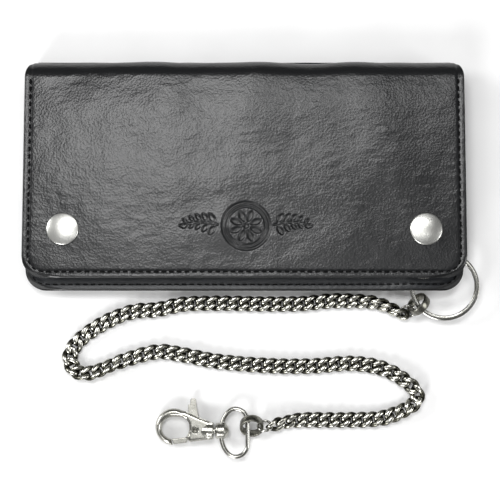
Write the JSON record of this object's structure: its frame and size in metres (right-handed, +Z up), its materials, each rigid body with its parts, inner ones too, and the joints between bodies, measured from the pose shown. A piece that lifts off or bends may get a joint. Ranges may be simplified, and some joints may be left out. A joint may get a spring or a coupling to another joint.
{
  "type": "chain wallet",
  "caption": "Long folding leather wallet with two snaps, card slots and a zipped coin pocket, tethered by a curb chain from a corner split ring to a swivel trigger snap hook.",
  "frame": {"origin": "on the surface the wallet lies on, under the middle of the closed wallet without its chain", "axes": "+X to the wallet's right seen from its front, +Y towards the fold, +Z up out of the front cover"},
  "size_m": [0.186, 0.1632, 0.0175],
  "materials": {
    "cover_leather": "black corrected full grain, semi-gloss",
    "lining_leather": "black split leather, matt",
    "pocket_leather": "black smooth, satin",
    "zip_tape": "woven polyester tape",
    "nickel": "satin nickel plate",
    "chain_steel": "dark nickel plate, cut faces polished",
    "spring_steel": "bright drawn wire"
  },
  "bodies": {
    "back": {"back_cover": "cover_leather", "back_lining": "lining_leather", "eyelet_barrel": "nickel", "eyelet_washer": "nickel", "note_divider": "pocket_leather", "coin_pocket_front": "pocket_leather", "coin_pocket_top": "pocket_leather", "zip_tape_lower": "zip_tape", "zip_tape_upper": "zip_tape", "zip_teeth": "nickel", "zip_stop_open": "nickel", "zip_stop_closed": "nickel", "snap_stud_left": "nickel", "snap_stud_right": "nickel", "snap_post_left": "nickel", "snap_post_right": "nickel", "end_ring_wallet": "nickel", "link_ring_wallet": "nickel", "chain": "chain_steel", "link_ring_hook": "nickel", "end_ring_hook": "nickel"},
    "spine": {"spine_cover": "cover_leather", "spine_lining": "lining_leather"},
    "flap": {"front_cover": "cover_leather", "front_lining": "lining_leather", "card_slot_left_1": "pocket_leather", "card_slot_left_2": "pocket_leather", "card_slot_left_3": "pocket_leather", "card_slot_right_1": "pocket_leather", "card_slot_right_2": "pocket_leather", "card_slot_right_3": "pocket_leather", "snap_cap_left": "nickel", "snap_cap_right": "nickel", "snap_socket_left": "nickel", "snap_socket_right": "nickel"},
    "zip_runner": {"zip_slider": "nickel", "zip_tab": "nickel"},
    "key_ring": {"key_ring": "nickel"},
    "dee": {"d_ring": "nickel"},
    "swivel": {"swivel_eye": "nickel"},
    "hook": {"hook_body": "nickel", "pivot_pin": "nickel", "gate_spring": "spring_steel"},
    "gate": {"gate_lever": "nickel"}
  },
  "joints": [
    {"name": "spine_fold", "type": "hinge", "parent": "back", "child": "spine", "pos_m": [0, 0.04578, 0.00171], "axis": [-1, 0, 0], "range_deg": [0, 90]},
    {"name": "flap_fold", "type": "hinge", "parent": "spine", "child": "flap", "pos_m": [0, 0.04578, 0.01429], "axis": [-1, 0, 0], "range_deg": [0, 90]},
    {"name": "zip_slide", "type": "slide", "parent": "back", "child": "zip_runner", "axis": [-1, 0, 0], "range_m": [0, 0.131]},
    {"name": "key_ring_spin", "type": "hinge", "parent": "back", "child": "key_ring", "pos_m": [0.0819, -0.0456, 0.00585], "axis": [-0.141, -0.141, 0.9799], "continuous": true},
    {"name": "dee_flip", "type": "hinge", "parent": "back", "child": "dee", "pos_m": [0.0013, -0.1052, 0.0044], "axis": [0, 1, 0], "range_deg": [0, 120]},
    {"name": "hook_lift", "type": "hinge", "parent": "dee", "child": "swivel", "pos_m": [-0.0094, -0.1044, 0.00345], "axis": [0, 1, 0], "range_deg": [0, 75]},
    {"name": "hook_swivel", "type": "hinge", "parent": "swivel", "child": "hook", "pos_m": [-0.0094, -0.1044, 0.00345], "axis": [0.9988, 0, 0.0489], "continuous": true},
    {"name": "gate_press", "type": "hinge", "parent": "hook", "child": "gate", "pos_m": [-0.01989, -0.1041, 0.00294], "axis": [0.0489, 0, -0.9988], "range_deg": [0, 28], "stiffness_Nm_per_rad": 0.02, "springref_deg": -17.19}
  ],
  "couplings": [
    {"joint": "flap_fold", "follows": "spine_fold", "ratio": 1}
  ]
}
